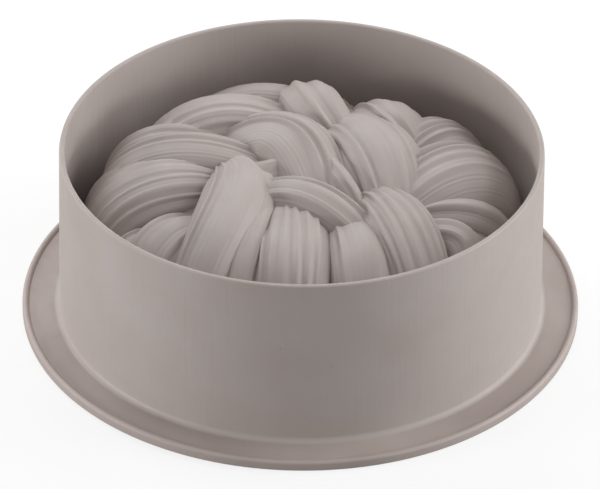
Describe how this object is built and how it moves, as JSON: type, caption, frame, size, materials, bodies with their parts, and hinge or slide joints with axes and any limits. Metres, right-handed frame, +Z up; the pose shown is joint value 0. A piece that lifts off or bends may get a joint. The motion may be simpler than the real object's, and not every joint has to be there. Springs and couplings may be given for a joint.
{
  "type": "silicone cake mould",
  "caption": "Round silicone cake mould with a plaited, domed cavity, a flat mouth flange with a raised lip, and an upright cylindrical support wall.",
  "frame": {"origin": "middle of the cavity's mouth, on the flange's flat face that the mould stands on as pictured", "axes": "+Z up from the mouth towards the support wall's rim; +X to the right and +Y away from the viewer as pictured"},
  "size_m": [0.222, 0.222, 0.0747],
  "materials": {
    "silicone": "matt moulded silicone, warm grey"
  },
  "bodies": {
    "root": {"braided_cavity": "silicone", "mouth_flange": "silicone", "flange_lip": "silicone", "support_wall": "silicone"}
  },
  "joints": []
}
